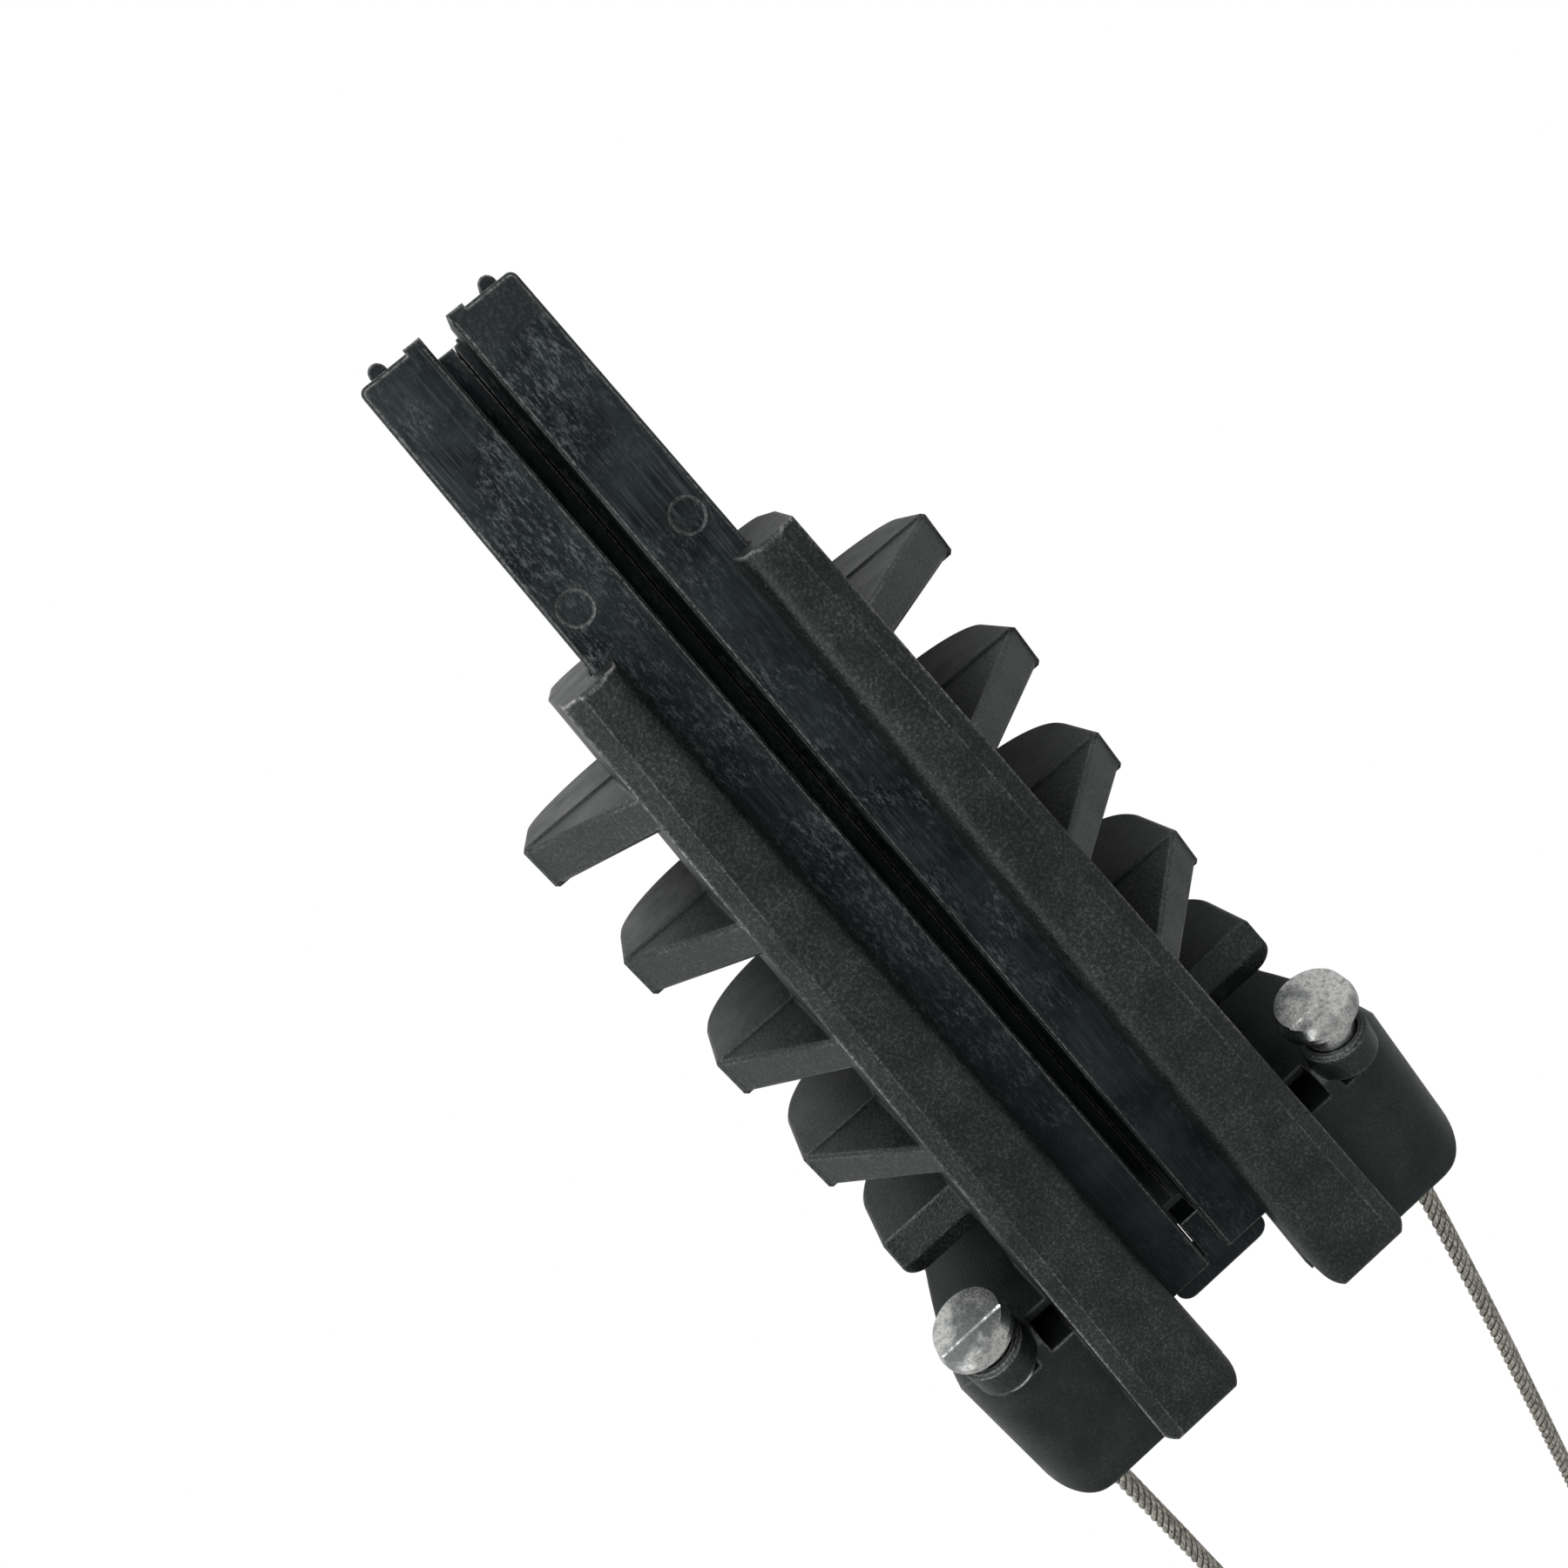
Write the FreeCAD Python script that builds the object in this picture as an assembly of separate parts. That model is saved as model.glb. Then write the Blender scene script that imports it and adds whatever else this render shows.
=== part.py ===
"""Wedge tension clamp for a round aerial cable: open ribbed body, two sliding wedges, wire-rope bail."""
import FreeCAD, Part
import math
import os

V = FreeCAD.Vector

# Sizes in millimetres. X runs from the narrow end to the bail end, Z is up and the ribs stand on Z = 0.
# Lengths along the body are measured from the narrow end face of its two rails.

# Rails and trough of the body
body_height = 66.5
rail_length = 170.0
rail_half_width = 21.4
rail_spread_deg = 2.9
lip_thickness = 12.6
lip_half_gap = 11.75
lip_round = 3.2
rail_end_round = 1.6
rail_front_round = 0.8
rail_edge_width = 3.2
rail_edge_drop = 1.4
prong_inner_radius = 4.5
prong_outer_radius = 3.5
parting_height = 36.0
wall_bulge = 2.6
trough_underside = 12.5
trough_floor = 6.0
trough_corner = 8.0

# Ribs
rib_count = 5
rib_pitch = 25.0
first_rib = 15.5
rib_thickness = 8.6
rib_tip_half_width = 43.8
rib_tip_growth = 0.8
rib_straight_height = 17.0
rib_bottom_radius = 18.0
rib_draft_deg = 1.5
rib_parting_step = 0.35
rib_edge_ease = 0.6
last_rib_thickness = 10.5
last_rib_ridge = 6.0
last_rib_bevel = 1.0
last_rib_corner = 4.0

# Bail blocks at the wide end
block_start = 138.0
block_end = 175.5
block_drop = 10.0
block_flat_half_width = 42.5
block_half_width = 53.3
block_side_lean = 5.8
block_side_height = 29.5
block_bottom_radius = 18.0
block_end_radius = 8.0
block_front_radius = 6.0
block_front_chamfer = 2.5
recess_depth = 5.5
recess_floor_drop = 30.0
recess_wall = 1.8
recess_wall_drop = 15.8
collar_diameter = 13.6
collar_front = 10.3
collar_back = 3.2
collar_edge_ease = 0.6
collar_margin = 0.8

# Bail bores and end fittings
bail_margin = 10.8
bail_tilt_deg = 12.0
bail_axis_drop = 13.4
rope_diameter = 4.0
rope_bore_gap = 0.75
fitting_shank_diameter = 10.0
fitting_shank_length = 12.7
fitting_socket_gap = 0.3
fitting_head_diameter = 15.6
fitting_face_diameter = 14.0
fitting_head_length = 3.8
fitting_head_cone = 2.6
fitting_face_step = 0.35
fitting_face_step_offset = 2.0
fitting_slack_right = 3.4
fitting_slack_left = 1.2

# Wedges
wedge_angle_deg = 2.0
wedge_tip_reach = 48.75
wedge_end = 155.3
wedge_tip_half_width = 13.75
wedge_inner_gap = 2.35
wedge_clearance = 0.3
wedge_tip_corner = 1.2
wedge_edge_ease = 0.5
seam_gap = 0.3
seam_overlap = 1.2
seam_rise = 5.2
wedge_side_extra = 1.8
groove_radius = 5.5
tooth_pitch = 9.0
tooth_depth = 0.6
tooth_width = 2.4
tooth_half_height = 3.0
bead_radius = 1.4
bead_reach = 2.0
bead_inset = 3.9
bead_top_drop = 3.2
tip_lip_reach = 0.5
tip_lip_width = 2.9
pin_mark_diameter = 5.4
pin_mark_depth = 0.2
pin_mark_place = -8.8
pin_mark_half_spacing = 10.8

# Link bar moulded on the right wedge
link_top_drop = 3.0
link_thickness = 6.0
link_stem_start = 146.5
link_bar_end = 161.0
link_half_width = 11.1
link_corner = 3.0
link_gap = 0.4

# Places that follow from the sizes above
rail_spread = math.tan(math.radians(rail_spread_deg))
wedge_slope = math.tan(math.radians(wedge_angle_deg))
rib_draft = math.tan(math.radians(rib_draft_deg))
lip_underside = body_height - lip_thickness
floor_top = trough_underside + trough_floor
wedge_bottom = floor_top + wedge_clearance
wedge_top = lip_underside - wedge_clearance
cable_height = (wedge_bottom + wedge_top) / 2
block_top = body_height - block_drop
bail_half_spacing = block_half_width - bail_margin
recess_back = block_start + recess_depth
past = 1.0
x_min = -wedge_tip_reach - bead_reach
x_max = block_end
centre_shift = V(-(x_min + x_max) / 2, 0, 0)


def line_or_arc(steps, place):
    """Closed wire from 2-D steps: (a, b) is a straight run, (a, b, c, d) an arc through (a, b) to (c, d)."""
    points = [place(*steps[0])]
    edges = []
    for step in steps[1:] + [steps[0]]:
        end = place(*step[-2:])
        if (end - points[-1]).Length < 1e-6:
            continue
        if len(step) == 4:
            edges.append(Part.Arc(points[-1], place(*step[:2]), end).toShape())
        else:
            edges.append(Part.LineSegment(points[-1], end).toShape())
        points.append(end)
    return Part.Wire(edges)


def prism_x(steps, start, end):
    """Solid from an outline in Y and Z, run along X."""
    wire = line_or_arc(steps, lambda y, z: V(start, y, z))
    return Part.Face(wire).extrude(V(end - start, 0, 0))


def prism_y(steps, start, end):
    """Solid from an outline in X and Z, run along Y."""
    wire = line_or_arc(steps, lambda x, z: V(x, start, z))
    return Part.Face(wire).extrude(V(0, end - start, 0))


def prism_z(steps, bottom, top):
    """Solid from an outline in X and Y, run along Z."""
    wire = line_or_arc(steps, lambda x, y: V(x, y, bottom))
    return Part.Face(wire).extrude(V(0, 0, top - bottom))


def round_corner(corner, radius, first, second):
    """Two steps that round a corner: where the arc starts, then the arc itself."""
    half = radius * (1 - math.sqrt(0.5))
    a = (corner[0] + first[0] * radius, corner[1] + first[1] * radius)
    b = (corner[0] + second[0] * radius, corner[1] + second[1] * radius)
    middle = (corner[0] + (first[0] + second[0]) * half, corner[1] + (first[1] + second[1]) * half)
    return [a, (*middle, *b)]


def mirrored(shape):
    """The same shape on the other side of the clamp."""
    return shape.mirror(V(0, 0, 0), V(0, 1, 0))


def rail_outer(x):
    """Half the width over the rails' top edges at a place along the body."""
    return rail_half_width + rail_spread * x


def rib_tip(x):
    """Half the width over the rib tips at a place along the body."""
    return rib_tip_half_width + rib_tip_growth * (x - first_rib) / rib_pitch


def wedge_outer(x):
    """Half the width over the wedges' outer sides at a place along the body."""
    return wedge_tip_half_width + wedge_slope * (x + wedge_tip_reach)


def trough_section(x):
    """Outline of the trough's outside at one place, widest at the parting height."""
    top = rail_outer(x)
    side = top + wall_bulge
    low = side - (parting_height - trough_underside) * rib_draft
    corner = round_corner((low, trough_underside), trough_corner, (0, 1), (-1, 0))
    half = [(top - rail_edge_width, body_height), (top, body_height - rail_edge_drop), (side, parting_height)]
    half += corner
    other = [(-half[4][2], half[4][3]), (-half[4][0], half[4][1], -half[3][0], half[3][1])]
    other += [(-half[2][0], half[2][1]), (-half[1][0], half[1][1]), (-half[0][0], half[0][1])]
    return line_or_arc(half + other, lambda y, z: V(x, y, z))


def trough():
    """Tapered outer form of the channel, with rounded prong ends in plan."""
    form = Part.makeLoft([trough_section(0), trough_section(rail_length)], True, True)
    end = rail_outer(rail_length)
    inner = round_corner((rail_length, lip_half_gap), prong_inner_radius, (0, 1), (-1, 0))
    outer = round_corner((rail_length, end), prong_outer_radius, (-1, 0), (0, -1))
    side = wall_bulge + past
    prong = [(-past, lip_half_gap), (-past, end + side), (rail_length - prong_outer_radius, end + side)]
    prong = prism_z(prong + outer + inner, lip_underside, body_height + past)
    length = rail_length + past
    keep = Part.makeBox(length, 2 * (end + side), lip_underside, V(-past, -end - side, 0))
    gap = Part.makeBox(length, 2 * lip_half_gap, body_height, V(-past, -lip_half_gap, 0))
    front = round_corner((0, body_height), rail_front_round, (1, 0), (0, -1))
    back = round_corner((rail_length, body_height), rail_end_round, (0, -1), (-1, 0))
    side_view = prism_y([(0, 0), (rail_length, 0)] + back + front, -end - side, end + side)
    return form.common(keep.fuse([prong, mirrored(prong), gap])).common(side_view)


def rib_foot(x, thickness):
    """Outline in X and Z of a rib below the parting height, drafted towards its foot."""
    low = parting_height * rib_draft
    return [(x + low, 0), (x + thickness - low, 0), (x + thickness, parting_height), (x, parting_height)]


def rib_outline(tip, top):
    """Outline in Y and Z of a D-shaped rib that runs under the trough, with a flat top from tip to tip."""
    radius = min(rib_bottom_radius, parting_height - rib_straight_height)
    foot = round_corner((tip, 0), radius, (0, 1), (-1, 0))
    left_foot = [(-foot[1][2], foot[1][3]), (-foot[1][0], foot[1][1], -foot[0][0], foot[0][1])]
    return [(tip, top)] + foot + left_foot + [(-tip, top)]


def eased(rib, back):
    """The rib with the edges round its outer side chamfered, as far back as a place along the body."""
    top = parting_height - 2 * last_rib_bevel
    outer = [e for e in rib.Edges if abs(e.CenterOfMass.y) > trough_corner and e.CenterOfMass.z < top
             and e.CenterOfMass.x < back and e.Length > last_rib_thickness]
    return rib.makeChamfer(rib_edge_ease, outer)


def gusset(x, tip):
    """Upper half of a rib: it climbs from the tip to just under the rail's edge, a small step thinner."""
    rail = rail_outer(x)
    low = parting_height - past
    high = body_height - rail_edge_width
    start = tip - rib_parting_step
    outline = [(start, low), (start, parting_height), (rail, high),
               (-rail, high), (-start, parting_height), (-start, low)]
    lean = (high - low) * rib_draft + rib_parting_step
    side = [(x + rib_parting_step, low), (x + rib_thickness - rib_parting_step, low),
            (x + rib_thickness - lean, high), (x + lean, high)]
    plate = prism_x(outline, x, x + rib_thickness).common(prism_y(side, -tip, tip))
    slopes = [e for e in plate.Edges if abs(e.CenterOfMass.y) > rail and e.Length > rib_thickness
              and e.CenterOfMass.z > parting_height]
    return plate.makeChamfer(rib_edge_ease, slopes)


def gusset_rib(index):
    """One of the ribs with gussets: a D-shaped plate below the parting height and a gusset above it."""
    x = first_rib + index * rib_pitch
    tip = rib_tip(x)
    plate = prism_x(rib_outline(tip, parting_height), x, x + rib_thickness)
    plate = plate.common(prism_y(rib_foot(x, rib_thickness), -tip, tip))
    return eased(plate, block_start).fuse(gusset(x, tip))


def last_rib():
    """The thicker rib before the bail blocks: a level bar with a ridge and rounded outer corners."""
    x = first_rib + (rib_count - 1) * rib_pitch
    back = x + last_rib_thickness
    tip = rib_tip(x)
    ridge = parting_height + last_rib_bevel
    shoulder = parting_height - last_rib_bevel
    plate = prism_x(rib_outline(tip, ridge), x, back)
    crest = [(back, shoulder), (x + last_rib_ridge, ridge), (x, shoulder)]
    side = prism_y(rib_foot(x, last_rib_thickness)[:2] + crest, -tip, tip)
    plate = eased(plate.common(side), x + rib_edge_ease)
    right = round_corner((back, tip), last_rib_corner, (0, -1), (-1, 0))
    left = [(right[1][2], -right[1][3]), (right[1][0], -right[1][1], right[0][0], -right[0][1])]
    plan = prism_z([(x, -tip)] + left + right + [(x, tip)], 0, body_height)
    return plate.common(plan)


def bail_direction():
    """Direction of the bail bores, sloping down towards the bail."""
    tilt = math.radians(bail_tilt_deg)
    return V(math.cos(tilt), 0, -math.sin(tilt))


def bail_point(x, side):
    """Point of a bail bore's axis at a place along the body."""
    fall = (x - recess_back) * math.tan(math.radians(bail_tilt_deg))
    return V(x, side * bail_half_spacing, body_height - bail_axis_drop - fall)


def bail_block():
    """Right-hand block that takes one end of the bail: pocket, collar for the fitting and rope bore."""
    top_round = block_half_width - block_flat_half_width
    shoulder = block_top - top_round
    low_y = block_half_width - block_side_lean
    low_z = shoulder - block_side_height
    radius = min(block_bottom_radius, low_z)
    foot = round_corner((low_y, 0), radius, (0, 1), (-1, 0))
    half = top_round * (1 - math.sqrt(0.5))
    section = [(0, block_top), (block_flat_half_width, block_top)]
    section += [(block_half_width - half, block_top - half, block_half_width, shoulder), (low_y, low_z)]
    block = prism_x(section + foot + [(0, 0)], block_start, block_end)
    front = round_corner((block_start, block_half_width), block_front_radius, (0, -1), (1, 0))
    back = round_corner((block_end, block_half_width), block_end_radius, (-1, 0), (0, -1))
    block = block.common(prism_z([(block_start, 0)] + front + back + [(block_end, 0)], 0, body_height))
    bevel = [(block_start, block_top - block_front_chamfer), (block_start + block_front_chamfer, block_top),
             (block_start, block_top + past)]
    slope = prism_y(bevel, 0, block_half_width)
    return block.cut([slope, recess()]).fuse(collar()).cut(bail_socket())


def recess():
    """Pocket between the rail and the collar, behind a low front wall."""
    wall = rail_outer(recess_back)
    width = bail_half_spacing - collar_diameter / 2 - collar_margin - wall
    top = body_height - recess_wall_drop
    pocket = Part.makeBox(recess_depth - recess_wall, width, body_height,
                          V(block_start + recess_wall, wall, body_height - recess_floor_drop))
    over = Part.makeBox(recess_depth + past, width, body_height, V(block_start - past, wall, top))
    return pocket.fuse(over)


def collar():
    """Round collar on the bail axis that stands out in front of the block and a little above its top."""
    along = bail_direction()
    front = bail_point(recess_back, 1) - along * collar_front
    ring = Part.makeCylinder(collar_diameter / 2, collar_front - collar_back, front, along)
    return ring.makeChamfer(collar_edge_ease, [e for e in ring.Edges if e.Closed])


def bail_socket():
    """Socket for the fitting's shank and the rope bore behind it, along the sloping bail axis."""
    along = bail_direction()
    floor = bail_point(recess_back, 1)
    shank = fitting_shank_diameter / 2 + fitting_socket_gap
    socket = Part.makeCylinder(shank, collar_front + past, floor, along * -1)
    bore = Part.makeCylinder(rope_diameter / 2 + rope_bore_gap, block_end, floor - along, along)
    return [socket, bore]


def body():
    """The whole moulded body: trough, ribs and bail blocks, with the wedge channel and its slot."""
    ribs = [gusset_rib(i) for i in range(rib_count - 1)]
    block = bail_block()
    solid = trough().fuse(ribs + [last_rib(), block, mirrored(block)])
    start, end = -past, block_end + past
    plan = [(start, -wedge_outer(start) - wedge_clearance), (end, -wedge_outer(end) - wedge_clearance),
            (end, wedge_outer(end) + wedge_clearance), (start, wedge_outer(start) + wedge_clearance)]
    channel = prism_z(plan, floor_top, lip_underside)
    shoulder = body_height - lip_round
    bend = lip_half_gap + lip_round * (1 - math.sqrt(0.5))
    crown = shoulder + lip_round * math.sqrt(0.5)
    wide = lip_half_gap + lip_round
    mouth = prism_x([(lip_half_gap, floor_top), (lip_half_gap, shoulder), (bend, crown, wide, body_height),
                     (wide, body_height + past), (-wide, body_height + past), (-wide, body_height),
                     (-bend, crown, -lip_half_gap, shoulder), (-lip_half_gap, floor_top)], start, end)
    behind = Part.makeBox(block_end, 2 * rail_outer(rail_length), body_height,
                          V(rail_length, -rail_outer(rail_length), 0))
    return solid.cut([channel, mouth, behind]).removeSplitter()


def wedge(tongue_bottom, tongue_top):
    """Right-hand wedge without its link: tapered outside, with a toothed half-round cable groove.

    Under the groove a tongue reaches past the middle, between two heights, and laps the other wedge's tongue.
    """
    tip = -wedge_tip_reach
    corner = round_corner((tip, wedge_tip_half_width), wedge_tip_corner, (1, 0), (0, -1))
    plan = [(tip, wedge_inner_gap), (wedge_end, wedge_inner_gap), (wedge_end, wedge_outer(wedge_end))]
    form = prism_z(plan + corner, wedge_bottom, wedge_top)
    long_edges = [e for e in form.Edges if e.Length > wedge_end]
    form = form.makeChamfer(wedge_edge_ease, long_edges)
    length = wedge_end - tip
    inside = wedge_inner_gap + wedge_edge_ease
    lip_side = seam_overlap + seam_gap
    lower_lip = Part.makeBox(length, inside - lip_side, cable_height - wedge_bottom, V(tip, lip_side, wedge_bottom))
    tongue = Part.makeBox(length, inside + seam_overlap, tongue_top - tongue_bottom,
                          V(tip, -seam_overlap, tongue_bottom))
    under = wedge_top - link_top_drop
    extra_end = wedge_end + wedge_side_extra
    side = [(wedge_end - past, link_half_width + link_gap), (extra_end, link_half_width + link_gap),
            (extra_end, wedge_outer(extra_end)), (wedge_end - past, wedge_outer(wedge_end - past))]
    lip = Part.makeBox(tip_lip_reach + past, tip_lip_width, wedge_top - wedge_bottom,
                       V(tip - tip_lip_reach, wedge_inner_gap, wedge_bottom))
    bead_height = wedge_top - wedge_bottom - 2 * bead_top_drop
    bead_x = tip - bead_reach + bead_radius
    bead_y = wedge_tip_half_width - bead_inset
    bead_z = wedge_bottom + bead_top_drop
    bead = Part.makeCylinder(bead_radius, bead_height, V(bead_x, bead_y, bead_z))
    web = Part.makeBox(bead_reach, 2 * bead_radius, bead_height, V(bead_x, bead_y - bead_radius, bead_z))
    form = form.fuse([lower_lip, tongue, prism_z(side, wedge_bottom + wedge_edge_ease, under), lip, bead, web])
    groove = Part.makeCylinder(groove_radius, length + 4 * past + bead_reach,
                               V(x_min - past, 0, cable_height), V(1, 0, 0))
    mark = Part.makeCylinder(pin_mark_diameter / 2, pin_mark_depth + past,
                             V(pin_mark_place, pin_mark_half_spacing, wedge_top - pin_mark_depth))
    return form.cut([groove, mark] + teeth(length))


def teeth(length):
    """Notches cut across the cable groove so that the ridges between them grip the sheath."""
    count = int(length / tooth_pitch) - 1
    notches = []
    for i in range(count):
        x = -wedge_tip_reach + (i + 1) * tooth_pitch
        notches.append(Part.makeBox(tooth_width, groove_radius + tooth_depth, 2 * tooth_half_height,
                                    V(x - tooth_width / 2, 0, cable_height - tooth_half_height)))
    return notches


def link():
    """T-shaped bar: its stem fills the end of the slot and its arm hooks behind the left wedge."""
    top = wedge_top - link_top_drop
    bottom = top - link_thickness
    stem = prism_z([(link_stem_start, link_gap - wedge_inner_gap), (link_bar_end, link_gap - wedge_inner_gap),
                    (link_bar_end, wedge_inner_gap), (link_stem_start, wedge_inner_gap)], bottom, top)
    right = round_corner((link_bar_end, link_half_width), link_corner, (0, -1), (-1, 0))
    left = round_corner((link_bar_end, -link_half_width), link_corner, (-1, 0), (0, 1))
    back = wedge_end + link_gap
    arm = prism_z([(back, -link_half_width)] + left + right + [(back, link_half_width)], bottom, top)
    root = Part.makeBox(link_gap, link_half_width - wedge_inner_gap, link_thickness,
                        V(wedge_end, wedge_inner_gap, bottom))
    return stem.fuse([arm, root])


def end_fitting(side, slack):
    """Button-head fitting pressed on the rope: its shank sits in the collar, its head in front of it."""
    shank = fitting_shank_diameter / 2
    head = fitting_head_diameter / 2
    face = fitting_face_diameter / 2
    total = fitting_shank_length + fitting_head_length
    steps = [(0, 0), (face, 0), (head, fitting_head_cone), (head, fitting_head_length),
             (shank, fitting_head_length), (shank, total), (0, total)]
    wire = line_or_arc(steps, lambda r, z: V(r, 0, z))
    form = Part.Face(wire).revolve(V(0, 0, 0), V(0, 0, 1), 360)
    width = head - fitting_face_step_offset + past
    step = Part.makeBox(width, fitting_head_diameter, fitting_face_step + past,
                        V(fitting_face_step_offset, -head, -past))
    form = form.cut(step)
    form.rotate(V(0, 0, 0), V(0, 1, 0), 90 + bail_tilt_deg)
    form.rotate(V(0, 0, 0), bail_direction(), 180)
    form.translate(bail_point(recess_back, side) - bail_direction() * (total + slack))
    return form


# Bail rope, from the right fitting round the loop to the left one, as place along the body, side and height
rope_radius = rope_diameter / 2
rope_points = [
    (190, 41.9, 43.2),
    (385.4, 27.5, rope_radius),
    (406.2, -13.2, rope_radius),
    (381.4, -51.6, rope_radius),
    (190, -43.3, 43.2),
]


def bail_rope():
    """The free rope of the bail: straight runs joined by tangent arcs, between the two end fittings."""
    ends = [bail_point(recess_back, 1) - bail_direction() * fitting_slack_right,
            bail_point(recess_back, -1) - bail_direction() * fitting_slack_left]
    points = [ends[0]] + [V(*p) for p in rope_points] + [ends[1]]
    runs = [(points[i + 1] - points[i]).Length for i in range(len(points) - 1)]
    edges = []
    start = points[0]
    radii = []
    for i in range(1, len(points) - 1):
        before = (points[i - 1] - points[i]).normalize()
        after = (points[i + 1] - points[i]).normalize()
        half_turn = (math.pi - before.getAngle(after)) / 2
        reach = 0.45 * min(runs[i - 1], runs[i])
        radius = reach / math.tan(half_turn)
        radii.append(radius)
        inward = (before + after).normalize()
        middle = points[i] + inward * (radius / math.cos(half_turn) - radius)
        first = points[i] + before * reach
        last = points[i] + after * reach
        edges.append(Part.LineSegment(start, first).toShape())
        edges.append(Part.Arc(first, middle, last).toShape())
        start = last
    edges.append(Part.LineSegment(start, points[-1]).toShape())
    path = Part.Wire(edges)
    ring = Part.Wire(Part.makeCircle(rope_radius, points[0], points[1] - points[0]))
    tube = path.makePipeShell([ring], True, False)
    print("rope: smallest radius %.1f, length %.1f, volume over section times length %.4f"
          % (min(radii), path.Length, tube.Volume / (math.pi * rope_radius ** 2 * path.Length)))
    return tube


def main():
    """Write each piece to its own file, with the origin under the middle of the clamp."""
    seam = wedge_bottom + seam_rise
    left = wedge(seam + seam_gap, cable_height)
    right = wedge(wedge_bottom, seam)
    pieces = {
        "body": body(),
        "wedge_left": mirrored(left),
        "wedge_right": right.fuse(link()).removeSplitter(),
        "end_fitting_right": end_fitting(1, fitting_slack_right),
        "end_fitting_left": end_fitting(-1, fitting_slack_left),
        "bail_rope": bail_rope(),
    }
    os.makedirs("parts", exist_ok=True)
    for name, shape in pieces.items():
        shape.translate(centre_shift)
        box = shape.BoundBox
        print("%-18s solids %d volume %9.1f valid %s x %.2f..%.2f y %.2f..%.2f z %.2f..%.2f"
              % (name, len(shape.Solids), shape.Volume, shape.isValid(),
                 box.XMin, box.XMax, box.YMin, box.YMax, box.ZMin, box.ZMax))
        shape.exportStep("parts/" + name + ".step")


main()
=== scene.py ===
"""Wedge tension clamp for an aerial cable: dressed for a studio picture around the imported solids."""
import bpy
import bmesh
import math
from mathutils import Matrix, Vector


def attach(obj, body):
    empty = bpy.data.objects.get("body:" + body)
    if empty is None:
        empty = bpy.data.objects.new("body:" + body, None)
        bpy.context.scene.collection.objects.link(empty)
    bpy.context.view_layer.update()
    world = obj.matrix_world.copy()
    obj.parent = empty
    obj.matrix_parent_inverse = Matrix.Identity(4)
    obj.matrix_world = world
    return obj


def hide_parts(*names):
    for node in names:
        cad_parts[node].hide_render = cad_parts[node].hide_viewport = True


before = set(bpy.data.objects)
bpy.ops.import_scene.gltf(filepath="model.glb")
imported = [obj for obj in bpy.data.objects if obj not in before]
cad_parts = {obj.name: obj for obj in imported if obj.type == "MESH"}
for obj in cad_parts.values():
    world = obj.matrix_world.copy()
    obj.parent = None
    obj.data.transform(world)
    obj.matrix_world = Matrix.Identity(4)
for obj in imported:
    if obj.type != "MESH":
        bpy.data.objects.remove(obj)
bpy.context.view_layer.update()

# Camera
# It stands above the narrow end, as the photograph was taken, and looks down along the clamp.
# The photograph is a part of a larger frame, so the lens is shifted.
photo_size = 1800
focal_length = 1569.52
optical_centre = (1103.28, 1004.53)
sensor = 36.0
camera_place = (-0.079088, -0.009287, 0.266806)
camera_turn = (-13.01509, -16.48305, 51.48884)
camera_data = bpy.data.cameras.new("camera")
camera_data.sensor_fit = "HORIZONTAL"
camera_data.sensor_width = sensor
camera_data.lens = sensor * focal_length / photo_size
camera_data.shift_x = (photo_size / 2 - optical_centre[0]) / photo_size
camera_data.shift_y = (optical_centre[1] - photo_size / 2) / photo_size
camera_data.clip_start = 0.01
camera = bpy.data.objects.new("camera", camera_data)
camera.location = camera_place
camera.rotation_euler = [math.radians(a) for a in camera_turn]
bpy.context.collection.objects.link(camera)
bpy.context.scene.camera = camera

# Bail rope
# One 4 mm galvanised wire rope of six strands, pressed into a fitting at each end. Its core can't be seen.
# The route's points are those of the plain tube, in metres, with the origin under the middle of the clamp.
# Each long straight leg has one more, near the loop's end.
rope_diameter = 0.004
rope_radius = rope_diameter / 2
strand_count = 6
strand_radius = 0.00069
strand_lay = 0.0177
rope_step = 0.0009
rope_points = [
    (0.077795, 0.0425, 0.05381),
    (0.127625, 0.0419, 0.0432),
    (0.278425, 0.0308, 0.0114),
    (0.323025, 0.0275, 0.002),
    (0.343825, -0.0132, 0.002),
    (0.319025, -0.0516, 0.002),
    (0.274425, -0.0497, 0.0116),
    (0.127625, -0.0433, 0.0432),
    (0.079955, -0.0425, 0.05335),
]


def points_of(curve):
    """The points of a curve's own line, in order."""
    bpy.context.view_layer.update()
    mesh = bpy.data.meshes.new_from_object(curve)
    return [v.co.copy() for v in mesh.vertices]


def evenly(points, step):
    """The same line with points at an even distance."""
    total = sum((b - a).length for a, b in zip(points, points[1:]))
    count = round(total / step)
    gap = total / count
    made = [points[0].copy()]
    walked = 0.0
    want = gap
    for a, b in zip(points, points[1:]):
        run = (b - a).length
        while run > 0 and want <= walked + run and len(made) < count:
            made.append(a.lerp(b, (want - walked) / run))
            want += gap
        walked += run
    made.append(points[-1].copy())
    return made, total


route_curve = bpy.data.curves.new("rope_route", "CURVE")
route_curve.dimensions = "3D"
route_spline = route_curve.splines.new("NURBS")
route_spline.points.add(len(rope_points) - 1)
for point, place in zip(route_spline.points, rope_points):
    point.co = (*place, 1.0)
route_spline.order_u = 3
route_spline.use_endpoint_u = True
route_spline.resolution_u = 24
route = bpy.data.objects.new("rope_route", route_curve)
bpy.context.collection.objects.link(route)
rope_line, rope_length = evenly(points_of(route), rope_step)
bpy.data.objects.remove(route)


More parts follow.
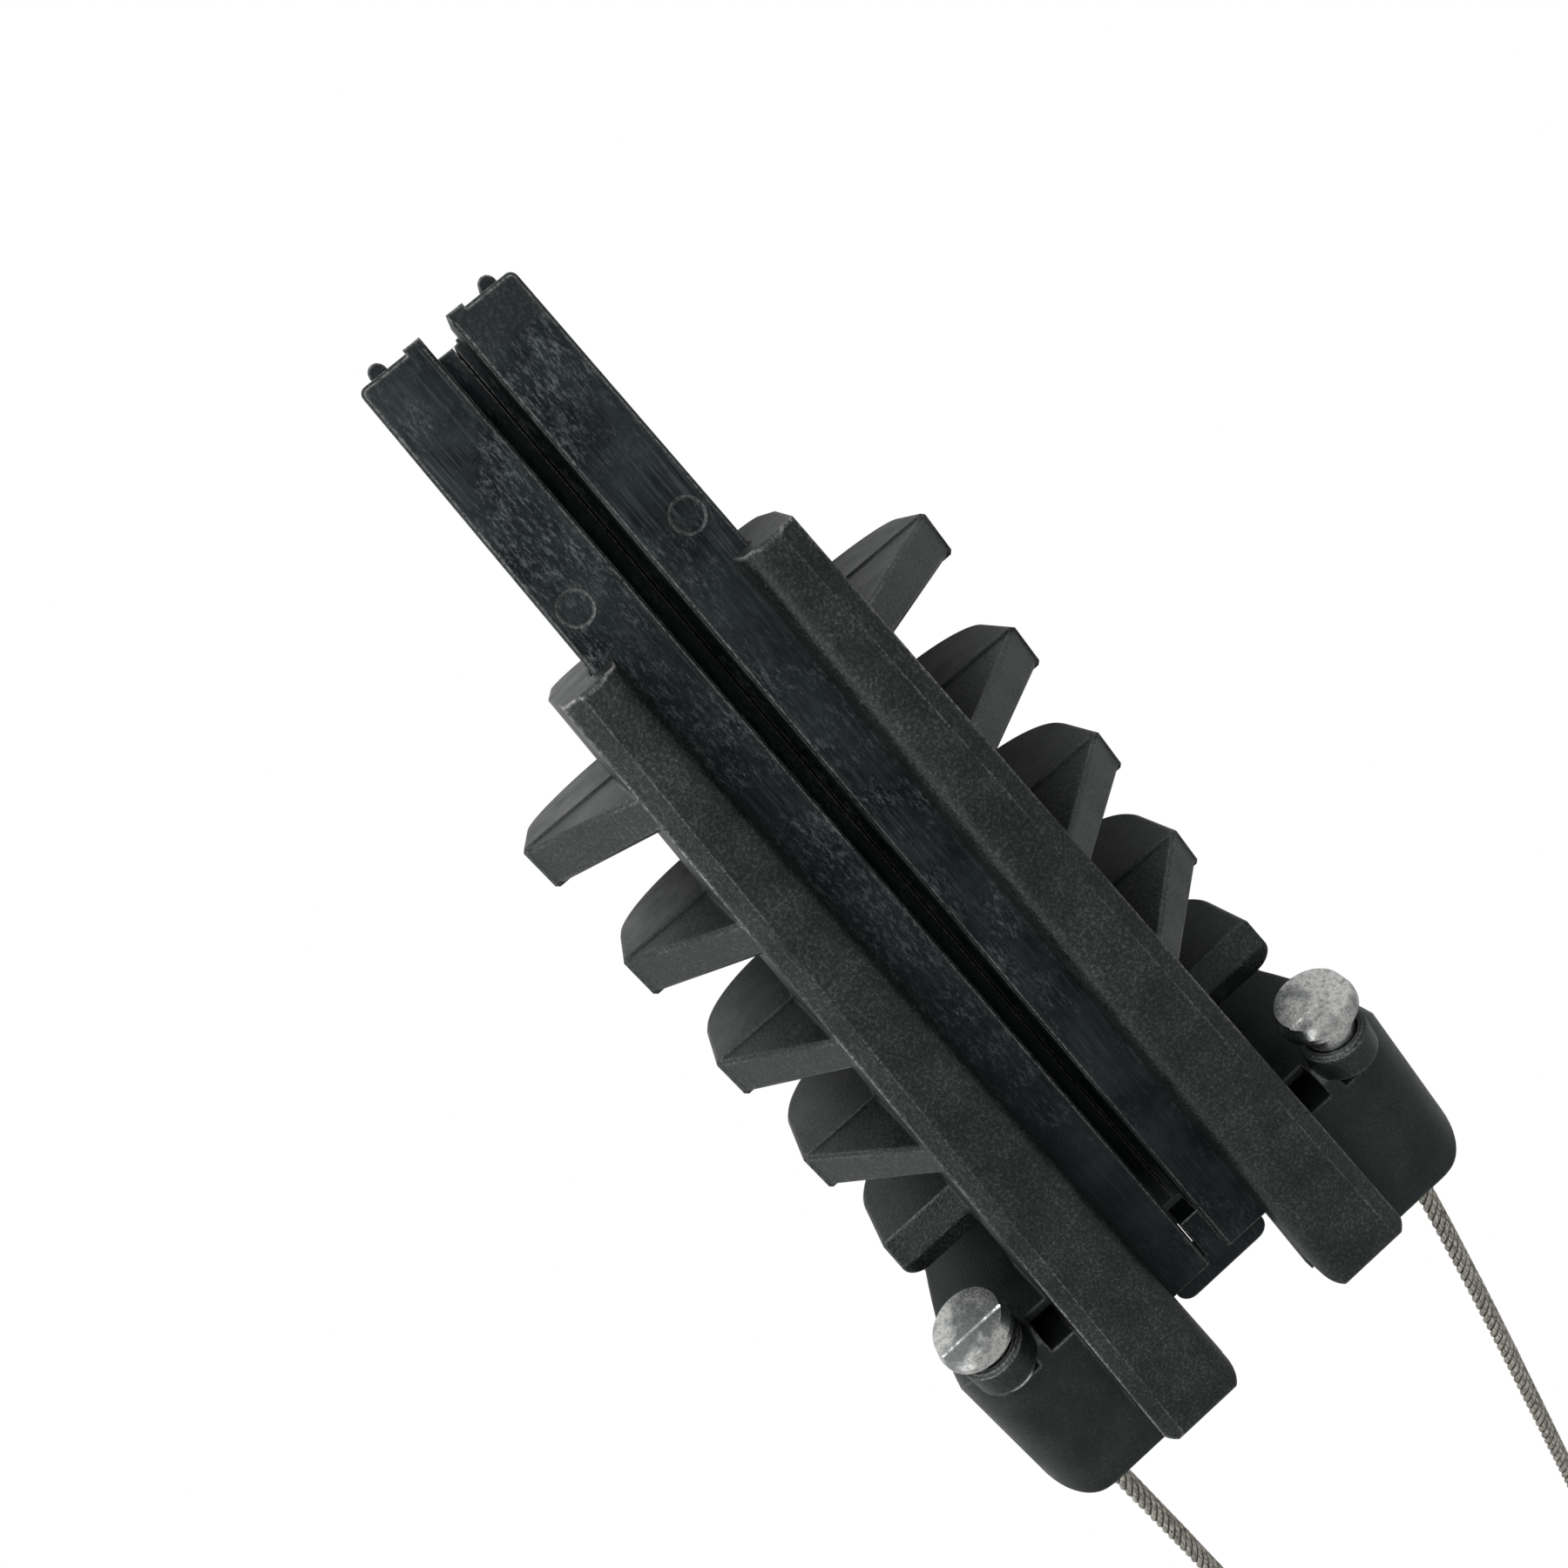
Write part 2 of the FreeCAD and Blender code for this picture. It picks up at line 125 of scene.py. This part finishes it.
def strands(line):
    """Six helices round the rope's line, carried along it without twist."""
    lay_radius = rope_radius - strand_radius
    routes = [[] for _ in range(strand_count)]
    side = Vector((0, 0, 1))
    travelled = 0.0
    for i, place in enumerate(line):
        ahead = (line[min(i + 1, len(line) - 1)] - line[max(i - 1, 0)]).normalized()
        side = (side - ahead * side.dot(ahead)).normalized()
        across = ahead.cross(side)
        if i:
            travelled += (place - line[i - 1]).length
        for k, strand in enumerate(routes):
            turn = math.tau * (travelled / strand_lay + k / strand_count)
            strand.append(place + (side * math.cos(turn) + across * math.sin(turn)) * lay_radius)
    return routes


curve = bpy.data.curves.new("rope_strands", "CURVE")
curve.dimensions = "3D"
for strand in strands(rope_line):
    spline = curve.splines.new("POLY")
    spline.points.add(len(strand) - 1)
    for point, place in zip(spline.points, strand):
        point.co = (*place, 1.0)
curve.bevel_depth = strand_radius
curve.bevel_resolution = 2
curve.use_fill_caps = True
rope_curve = bpy.data.objects.new("rope_strands", curve)
bpy.context.collection.objects.link(rope_curve)
bpy.context.view_layer.update()
rope_mesh = bpy.data.meshes.new_from_object(rope_curve)
bpy.data.objects.remove(rope_curve)
rope = bpy.data.objects.new("wire_rope", rope_mesh)
bpy.context.collection.objects.link(rope)
for face in rope_mesh.polygons:
    face.use_smooth = True
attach(rope, "clamp_body")
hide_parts("bail_rope")


def new_material(name):
    """An empty material with its shader, and the tree to build in."""
    material = bpy.data.materials.new(name)
    material.use_nodes = True
    tree = material.node_tree
    return material, tree, tree.nodes["Principled BSDF"]


def node(tree, kind, inputs=(), **settings):
    """A node with its settings and unlinked inputs given."""
    made = tree.nodes.new(kind)
    for key, value in settings.items():
        setattr(made, key, value)
    for key, value in dict(inputs).items():
        made.inputs[key].default_value = value
    return made


def new_group(name, wanted, given):
    """A shader node group with named inputs and outputs, and its two end nodes."""
    tree = bpy.data.node_groups.new(name, "ShaderNodeTree")
    for label, kind, value in wanted:
        tree.interface.new_socket(label, in_out="INPUT", socket_type=kind).default_value = value
    for label, kind in given:
        tree.interface.new_socket(label, in_out="OUTPUT", socket_type=kind)
    return tree, tree.nodes.new("NodeGroupInput"), tree.nodes.new("NodeGroupOutput")


def chain(tree, *links):
    """Links given as pairs of an output socket and an input socket."""
    for source, target in links:
        tree.links.new(source, target)


steel, tree, shader = new_material("galvanised_wire")
place = node(tree, "ShaderNodeTexCoord")
# The ambient occlusion darkens the grooves between the strands towards near black: painted shade.
open_air = node(tree, "ShaderNodeAmbientOcclusion", {"Distance": 0.0007}, samples=4, only_local=True)
grooves = node(tree, "ShaderNodeMapRange", {"From Min": 0.60, "From Max": 0.97})
weather = node(tree, "ShaderNodeTexNoise", {"Scale": 700.0, "Detail": 3.0, "Roughness": 0.6})
dull_wire = (0.17, 0.16, 0.13, 1)
bright_wire = (0.80, 0.77, 0.68, 1)
weathered = node(tree, "ShaderNodeMixRGB", {"Color1": dull_wire, "Color2": bright_wire})
groove_shade = node(tree, "ShaderNodeMixRGB", {"Color1": (0.035, 0.032, 0.027, 1)})
dull = node(tree, "ShaderNodeMapRange", {"To Min": 0.55, "To Max": 0.28})
drawn = node(tree, "ShaderNodeMapping", {"Scale": (0.12, 1, 1)})
wires = node(tree, "ShaderNodeTexNoise", {"Scale": 3200.0, "Detail": 2.0, "Roughness": 0.6})
wire_tone = node(tree, "ShaderNodeMapRange", {"From Min": 0.38, "From Max": 0.62})
wire_bump = node(tree, "ShaderNodeBump", {"Strength": 1.0, "Distance": 0.00025})
chain(tree,
      (place.outputs["Object"], drawn.inputs["Vector"]),
      (drawn.outputs["Vector"], wires.inputs["Vector"]),
      (wires.outputs["Fac"], wire_bump.inputs["Height"]),
      (wire_bump.outputs["Normal"], shader.inputs["Normal"]),
      (place.outputs["Object"], weather.inputs["Vector"]),
      (wires.outputs["Fac"], wire_tone.inputs["Value"]),
      (wire_tone.outputs[0], weathered.inputs["Fac"]),
      (open_air.outputs["AO"], grooves.inputs["Value"]),
      (grooves.outputs[0], groove_shade.inputs["Fac"]),
      (weathered.outputs["Color"], groove_shade.inputs["Color2"]),
      (groove_shade.outputs["Color"], shader.inputs["Base Color"]),
      (weather.outputs["Fac"], dull.inputs["Value"]),
      (dull.outputs[0], shader.inputs["Roughness"]))
shader.inputs["Metallic"].default_value = 0.7
rope_mesh.materials.clear()
rope_mesh.materials.append(steel)

# Body
# One moulding in black weather-resistant plastic: trough, rails, ribs and bail blocks.
# Its skin has a fine grain, pale glass specks and cloudy patches, its edges are rubbed pale, and its hollows
# are darkened with painted shade.
# The skin's effects are a node group, because the wedges have the same kind of skin.
number = "NodeSocketFloat"
skin, given, out = new_group("moulded_skin", [
    ("Grain size", number, 0.0005),
    ("Grain depth", number, 0.00012),
    ("Speck size", number, 0.0006),
    ("Least wear", number, 0.15),
    ("Edge radius", number, 0.0010),
    ("Shade reach", number, 0.006),
], [
    ("Speck", number),
    ("Cloud", number),
    ("Edge", number),
    ("Open", number),
    ("Normal", "NodeSocketVector"),
])
place = node(skin, "ShaderNodeTexCoord")
per_grain = node(skin, "ShaderNodeMath", {0: 1.0}, operation="DIVIDE")
grain = node(skin, "ShaderNodeTexNoise", {"Detail": 3.0, "Roughness": 0.6})
per_speck = node(skin, "ShaderNodeMath", {0: 1.0}, operation="DIVIDE")
speck_noise = node(skin, "ShaderNodeTexNoise", {"Detail": 4.0, "Roughness": 0.92})
speck_mask = node(skin, "ShaderNodeMapRange", {"From Min": 0.49, "From Max": 0.66})
worn_places = node(skin, "ShaderNodeTexNoise", {"Scale": 24.0, "Detail": 3.0, "Roughness": 0.6})
worn_mask = node(skin, "ShaderNodeMapRange", {"From Min": 0.40, "From Max": 0.52})
speck_amount = node(skin, "ShaderNodeMapRange", {"From Min": 0.40, "From Max": 0.64, "To Min": 0.45})
speck_shown = node(skin, "ShaderNodeMath", operation="MULTIPLY")
edge_shown = node(skin, "ShaderNodeMath", operation="MULTIPLY")
edge_reached = node(skin, "ShaderNodeMath", operation="MULTIPLY")
wear_mask = node(skin, "ShaderNodeMapRange", {"From Min": 0.40, "From Max": 0.56})
cloud_noise = node(skin, "ShaderNodeTexNoise", {"Scale": 90.0, "Detail": 6.0, "Roughness": 0.65})
cloud_mask = node(skin, "ShaderNodeMapRange", {"From Min": 0.38, "From Max": 0.66})
rounded = node(skin, "ShaderNodeBevel", samples=6)
facing = node(skin, "ShaderNodeNewGeometry")
turned = node(skin, "ShaderNodeVectorMath", operation="DOT_PRODUCT")
edge_mask = node(skin, "ShaderNodeMapRange", {"From Min": 0.99, "From Max": 0.90})
broken_edge = node(skin, "ShaderNodeMath", operation="MULTIPLY")
# The ambient occlusion gives the Open mask, which the materials use to paint shade into hollows and corners.
around = node(skin, "ShaderNodeAmbientOcclusion", samples=4, only_local=True)
open_mask = node(skin, "ShaderNodeMapRange", {"From Min": 0.30, "From Max": 0.80})
bump = node(skin, "ShaderNodeBump", {"Strength": 1.0})
chain(skin,
      (given.outputs["Grain size"], per_grain.inputs[1]),
      (per_grain.outputs[0], grain.inputs["Scale"]),
      (given.outputs["Speck size"], per_speck.inputs[1]),
      (per_speck.outputs[0], speck_noise.inputs["Scale"]),
      (place.outputs["Object"], grain.inputs["Vector"]),
      (place.outputs["Object"], speck_noise.inputs["Vector"]),
      (place.outputs["Object"], cloud_noise.inputs["Vector"]),
      (speck_noise.outputs["Fac"], speck_mask.inputs["Value"]),
      (cloud_noise.outputs["Fac"], cloud_mask.inputs["Value"]),
      (given.outputs["Edge radius"], rounded.inputs["Radius"]),
      (rounded.outputs["Normal"], turned.inputs[0]),
      (facing.outputs["Normal"], turned.inputs[1]),
      (turned.outputs["Value"], edge_mask.inputs["Value"]),
      (edge_mask.outputs[0], broken_edge.inputs[0]),
      (speck_noise.outputs["Fac"], wear_mask.inputs["Value"]),
      (wear_mask.outputs[0], broken_edge.inputs[1]),
      (place.outputs["Object"], worn_places.inputs["Vector"]),
      (worn_places.outputs["Fac"], worn_mask.inputs["Value"]),
      (given.outputs["Least wear"], worn_mask.inputs["To Min"]),
      (cloud_noise.outputs["Fac"], speck_amount.inputs["Value"]),
      (speck_mask.outputs[0], speck_shown.inputs[0]),
      (speck_amount.outputs[0], speck_shown.inputs[1]),
      (broken_edge.outputs[0], edge_shown.inputs[0]),
      (worn_mask.outputs[0], edge_shown.inputs[1]),
      (given.outputs["Grain depth"], bump.inputs["Distance"]),
      (given.outputs["Shade reach"], around.inputs["Distance"]),
      (grain.outputs["Fac"], bump.inputs["Height"]),
      (rounded.outputs["Normal"], bump.inputs["Normal"]),
      (speck_shown.outputs[0], out.inputs["Speck"]),
      (cloud_mask.outputs[0], out.inputs["Cloud"]),
      (edge_shown.outputs[0], edge_reached.inputs[0]),
      (open_mask.outputs[0], edge_reached.inputs[1]),
      (edge_reached.outputs[0], out.inputs["Edge"]),
      (around.outputs["AO"], open_mask.inputs["Value"]),
      (open_mask.outputs[0], out.inputs["Open"]),
      (bump.outputs["Normal"], out.inputs["Normal"]))
black, tree, shader = new_material("black_moulding")
surface = node(tree, "ShaderNodeGroup", node_tree=skin)
dark_plastic = (0.0031, 0.0046, 0.0045, 1)
pale_plastic = (0.0100, 0.0128, 0.0127, 1)
clouded = node(tree, "ShaderNodeMixRGB", {"Color1": dark_plastic, "Color2": pale_plastic})
specked = node(tree, "ShaderNodeMixRGB", {"Color2": (0.092, 0.096, 0.088, 1)})
# Hemmed-in places are darkened towards near black: painted shade.
shade_painted = node(tree, "ShaderNodeMixRGB", {"Color1": (0.001, 0.001, 0.001, 1)})
rubbed = node(tree, "ShaderNodeMixRGB", {"Color2": (0.60, 0.60, 0.56, 1)})
sheen = node(tree, "ShaderNodeMapRange", {"To Min": 0.30, "To Max": 0.49})
rail_foot = 0.056
rail_top = 0.064
place = node(tree, "ShaderNodeTexCoord")
height = node(tree, "ShaderNodeSeparateXYZ")
on_rails = node(tree, "ShaderNodeMapRange", {"From Min": rail_foot, "From Max": rail_top, "To Min": 0.2})
handled = node(tree, "ShaderNodeMath", operation="MULTIPLY")
ribs_end = 0.062
blocks_start = 0.066
among_ribs = node(tree, "ShaderNodeMapRange", {
    "From Min": blocks_start, "From Max": ribs_end, "To Min": 0.35})
grainy = node(tree, "ShaderNodeMath", operation="MAXIMUM")
specks = node(tree, "ShaderNodeMath", operation="MULTIPLY")
chain(tree,
      (surface.outputs["Cloud"], clouded.inputs["Fac"]),
      (height.outputs["X"], among_ribs.inputs["Value"]),
      (among_ribs.outputs[0], grainy.inputs[0]),
      (on_rails.outputs[0], grainy.inputs[1]),
      (surface.outputs["Speck"], specks.inputs[0]),
      (grainy.outputs[0], specks.inputs[1]),
      (specks.outputs[0], specked.inputs["Fac"]),
      (clouded.outputs["Color"], specked.inputs["Color1"]),
      (place.outputs["Object"], height.inputs[0]),
      (height.outputs["Z"], on_rails.inputs["Value"]),
      (surface.outputs["Edge"], handled.inputs[0]),
      (on_rails.outputs[0], handled.inputs[1]),
      (handled.outputs[0], rubbed.inputs["Fac"]),
      (specked.outputs["Color"], rubbed.inputs["Color1"]),
      (surface.outputs["Open"], shade_painted.inputs["Fac"]),
      (rubbed.outputs["Color"], shade_painted.inputs["Color2"]),
      (shade_painted.outputs["Color"], shader.inputs["Base Color"]),
      (surface.outputs["Cloud"], sheen.inputs["Value"]),
      (sheen.outputs[0], shader.inputs["Roughness"]),
      (surface.outputs["Normal"], shader.inputs["Normal"]))
shader.inputs["Specular Tint"].default_value = (0.83, 0.95, 0.94, 1)


def dress(node_name, material):
    """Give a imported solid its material."""
    mesh = bpy.data.objects[node_name].data
    mesh.materials.clear()
    mesh.materials.append(material)


dress("body", black)

# Wedges
# Two tapered mouldings in a smoother, bluish black plastic. Each slides along one wall of the trough.
# Their tops have scuffs and fine drawn lines, which fade towards the wide end. Their end faces are matt.
# Painted shade darkens their hollows, such as the slot between them.
wedge_black, tree, shader = new_material("wedge_moulding")
surface = node(tree, "ShaderNodeGroup", node_tree=skin)
surface.inputs["Grain size"].default_value = 0.0012
surface.inputs["Grain depth"].default_value = 0.00001
surface.inputs["Edge radius"].default_value = 0.0006
surface.inputs["Shade reach"].default_value = 0.012
surface.inputs["Least wear"].default_value = 0.5
place = node(tree, "ShaderNodeTexCoord")
stretch = node(tree, "ShaderNodeMapping", {"Rotation": (0, 0, 0.12), "Scale": (0.30, 1, 1)})
marks = node(tree, "ShaderNodeTexNoise", {"Scale": 1500.0, "Detail": 4.0, "Roughness": 0.92})
streaks = node(tree, "ShaderNodeMapRange", {"From Min": 0.49, "From Max": 0.64})
draw = node(tree, "ShaderNodeMapping", {"Scale": (0.02, 1, 1)})
drawn = node(tree, "ShaderNodeTexNoise", {"Scale": 1500.0, "Detail": 4.0, "Roughness": 0.85})
drawn_lines = node(tree, "ShaderNodeMapRange", {"From Min": 0.47, "From Max": 0.66})
unscuffed = node(tree, "ShaderNodeMapRange", {"From Min": 0.54, "From Max": 0.40, "To Max": 0.45})
drawn_patches = node(tree, "ShaderNodeMath", operation="MULTIPLY")
marked = node(tree, "ShaderNodeMath", operation="MAXIMUM")
scuffs = node(tree, "ShaderNodeTexNoise", {
    "Scale": 42.0, "Detail": 5.0, "Roughness": 0.7, "Distortion": 0.8})
scuffed = node(tree, "ShaderNodeMapRange", {"From Min": 0.43, "From Max": 0.59})
patches = node(tree, "ShaderNodeMath", operation="MULTIPLY")
dark_plastic = (0.0018, 0.0034, 0.0042, 1)
pale_plastic = (0.014, 0.0185, 0.0195, 1)
clouded = node(tree, "ShaderNodeMixRGB", {"Color1": dark_plastic, "Color2": pale_plastic})
streaked = node(tree, "ShaderNodeMixRGB", {"Color2": (0.105, 0.117, 0.116, 1)})
# Hemmed-in places, such as the slot between the wedges, are darkened towards near black: painted shade.
shade_painted = node(tree, "ShaderNodeMixRGB", {"Color1": (0.001, 0.001, 0.001, 1)})
rubbed = node(tree, "ShaderNodeMixRGB", {"Color2": (0.38, 0.38, 0.37, 1)})
sheen = node(tree, "ShaderNodeMapRange", {"To Min": 0.30, "To Max": 0.50})
tip_start = -0.1040
tip_end = -0.1048
along = node(tree, "ShaderNodeSeparateXYZ")
scuffs_start = 0.010
scuffs_end = 0.055
towards_tips = node(tree, "ShaderNodeMapRange", {
    "From Min": scuffs_end, "From Max": scuffs_start, "To Min": 0.32})
shown_marks = node(tree, "ShaderNodeMath", operation="MULTIPLY")
tip_difference = 0.006
which_wedge = node(tree, "ShaderNodeMath", {1: 0.0}, operation="LESS_THAN")
farther = node(tree, "ShaderNodeMath", {1: tip_difference}, operation="MULTIPLY_ADD")
at_tip = node(tree, "ShaderNodeMapRange", {"From Min": tip_start, "From Max": tip_end})
tip_matt = node(tree, "ShaderNodeMixRGB")
matt_tip = (0.011, 0.0135, 0.014, 1)
pale_grain = (0.055, 0.061, 0.060, 1)
tip_specked = node(tree, "ShaderNodeMixRGB", {"Color1": matt_tip, "Color2": pale_grain})
chain(tree,
      (place.outputs["Object"], stretch.inputs["Vector"]),
      (stretch.outputs["Vector"], marks.inputs["Vector"]),
      (marks.outputs["Fac"], streaks.inputs["Value"]),
      (streaks.outputs[0], patches.inputs[0]),
      (place.outputs["Object"], scuffs.inputs["Vector"]),
      (scuffs.outputs["Fac"], scuffed.inputs["Value"]),
      (scuffed.outputs[0], patches.inputs[1]),
      (surface.outputs["Cloud"], clouded.inputs["Fac"]),
      (clouded.outputs["Color"], streaked.inputs["Color1"]),
      (place.outputs["Object"], draw.inputs["Vector"]),
      (draw.outputs["Vector"], drawn.inputs["Vector"]),
      (drawn.outputs["Fac"], drawn_lines.inputs["Value"]),
      (scuffs.outputs["Fac"], unscuffed.inputs["Value"]),
      (drawn_lines.outputs[0], drawn_patches.inputs[0]),
      (unscuffed.outputs[0], drawn_patches.inputs[1]),
      (patches.outputs[0], marked.inputs[0]),
      (drawn_patches.outputs[0], marked.inputs[1]),
      (along.outputs["X"], towards_tips.inputs["Value"]),
      (towards_tips.outputs[0], shown_marks.inputs[0]),
      (marked.outputs[0], shown_marks.inputs[1]),
      (shown_marks.outputs[0], streaked.inputs["Fac"]),
      (place.outputs["Object"], along.inputs[0]),
      (along.outputs["Y"], which_wedge.inputs[0]),
      (which_wedge.outputs[0], farther.inputs[0]),
      (along.outputs["X"], farther.inputs[2]),
      (farther.outputs[0], at_tip.inputs["Value"]),
      (at_tip.outputs[0], tip_matt.inputs["Fac"]),
      (streaked.outputs["Color"], tip_matt.inputs["Color1"]),
      (surface.outputs["Speck"], tip_specked.inputs["Fac"]),
      (tip_specked.outputs["Color"], tip_matt.inputs["Color2"]),
      (tip_matt.outputs["Color"], rubbed.inputs["Color1"]),
      (surface.outputs["Edge"], rubbed.inputs["Fac"]),
      (surface.outputs["Open"], shade_painted.inputs["Fac"]),
      (rubbed.outputs["Color"], shade_painted.inputs["Color2"]),
      (shade_painted.outputs["Color"], shader.inputs["Base Color"]),
      (surface.outputs["Cloud"], sheen.inputs["Value"]),
      (sheen.outputs[0], shader.inputs["Roughness"]),
      (surface.outputs["Normal"], shader.inputs["Normal"]))
shader.inputs["Specular IOR Level"].default_value = 0.25
shader.inputs["Specular Tint"].default_value = (0.83, 0.95, 0.97, 1)
dress("wedge_left", wedge_black)
dress("wedge_right", wedge_black)

# End fittings
# Turned steel buttons, pressed on the rope and held in the collars of the blocks by its pull.
# Their bright zinc coat is stippled, and tarnished in patches.
zinc, tree, shader = new_material("bright_zinc")
place = node(tree, "ShaderNodeTexCoord")
crystals = node(tree, "ShaderNodeTexNoise", {"Scale": 2600.0, "Detail": 4.0, "Roughness": 0.75})
stains = node(tree, "ShaderNodeTexNoise", {"Scale": 110.0, "Detail": 5.0, "Roughness": 0.6})
tarnish = node(tree, "ShaderNodeMapRange", {"From Min": 0.40, "From Max": 0.52, "To Min": 0.2})
stipple = node(tree, "ShaderNodeTexNoise", {"Scale": 1100.0, "Detail": 4.0, "Roughness": 0.85})
stippled = node(tree, "ShaderNodeMapRange", {"From Min": 0.38, "From Max": 0.52, "To Min": 0.35})
both = node(tree, "ShaderNodeMath", operation="MULTIPLY")
coat = node(tree, "ShaderNodeMixRGB", {"Color1": (0.20, 0.22, 0.22, 1), "Color2": (0.95, 0.96, 0.93, 1)})
dull = node(tree, "ShaderNodeMapRange", {"From Min": 0.35, "From Max": 0.65, "To Min": 0.28, "To Max": 0.10})
hammered = node(tree, "ShaderNodeBump", {"Strength": 1.0, "Distance": 0.00004})
chain(tree,
      (place.outputs["Object"], crystals.inputs["Vector"]),
      (place.outputs["Object"], stains.inputs["Vector"]),
      (stains.outputs["Fac"], tarnish.inputs["Value"]),
      (place.outputs["Object"], stipple.inputs["Vector"]),
      (stipple.outputs["Fac"], stippled.inputs["Value"]),
      (tarnish.outputs[0], both.inputs[0]),
      (stippled.outputs[0], both.inputs[1]),
      (both.outputs[0], coat.inputs["Fac"]),
      (coat.outputs["Color"], shader.inputs["Base Color"]),
      (stains.outputs["Fac"], dull.inputs["Value"]),
      (dull.outputs[0], shader.inputs["Roughness"]),
      (crystals.outputs["Fac"], hammered.inputs["Height"]),
      (hammered.outputs["Normal"], shader.inputs["Normal"]))
shader.inputs["Metallic"].default_value = 1.0
dress("end_fitting_left", zinc)
dress("end_fitting_right", zinc)

# Studio
# A white table under soft light, mostly from the narrow end.
# The camera sees the table and the sky as plain white.
floor_size = 6.0
bm = bmesh.new()
bmesh.ops.create_grid(bm, x_segments=1, y_segments=1, size=floor_size / 2)
floor_mesh = bpy.data.meshes.new("floor")
bm.to_mesh(floor_mesh)
bm.free()
floor = bpy.data.objects.new("floor", floor_mesh)
bpy.context.collection.objects.link(floor)
pale, tree, shader = new_material("white_table")
shader.inputs["Base Color"].default_value = (0.70, 0.70, 0.70, 1)
shader.inputs["Roughness"].default_value = 0.9
plain = node(tree, "ShaderNodeEmission")
seen = node(tree, "ShaderNodeLightPath")
either = node(tree, "ShaderNodeMixShader")
chain(tree,
      (seen.outputs["Is Camera Ray"], either.inputs[0]),
      (shader.outputs[0], either.inputs[1]),
      (plain.outputs[0], either.inputs[2]),
      (either.outputs[0], tree.nodes["Material Output"].inputs["Surface"]))
floor_mesh.materials.append(pale)
clamp_middle = (0, 0, 0.03)


def soft_light(name, place, size, watts):
    """A square soft box that faces the clamp's middle."""
    data = bpy.data.lights.new(name, "AREA")
    data.shape = "SQUARE"
    data.size = size
    data.energy = watts
    lamp = bpy.data.objects.new(name, data)
    lamp.location = place
    lamp.rotation_euler = (Vector(clamp_middle) - Vector(place)).to_track_quat("-Z", "Y").to_euler()
    bpy.context.collection.objects.link(lamp)


soft_light("key", place=(-0.68, -0.32, 0.81), size=0.6, watts=7.8)
soft_light("side", place=(0.1, -1.0, 0.4), size=0.7, watts=2.3)
world = bpy.data.worlds.new("studio")
bpy.context.scene.world = world
world.use_nodes = True
tree = world.node_tree
sky = tree.nodes["Background"]
sky.inputs["Color"].default_value = (1, 1, 1, 1)
sky.inputs["Strength"].default_value = 0.35
white = node(tree, "ShaderNodeBackground")
white.inputs["Color"].default_value = (1, 1, 1, 1)
seen = node(tree, "ShaderNodeLightPath")
either = node(tree, "ShaderNodeMixShader")
chain(tree,
      (seen.outputs["Is Camera Ray"], either.inputs[0]),
      (sky.outputs[0], either.inputs[1]),
      (white.outputs[0], either.inputs[2]),
      (either.outputs[0], tree.nodes["World Output"].inputs["Surface"]))
bpy.context.scene.view_settings.view_transform = "Standard"
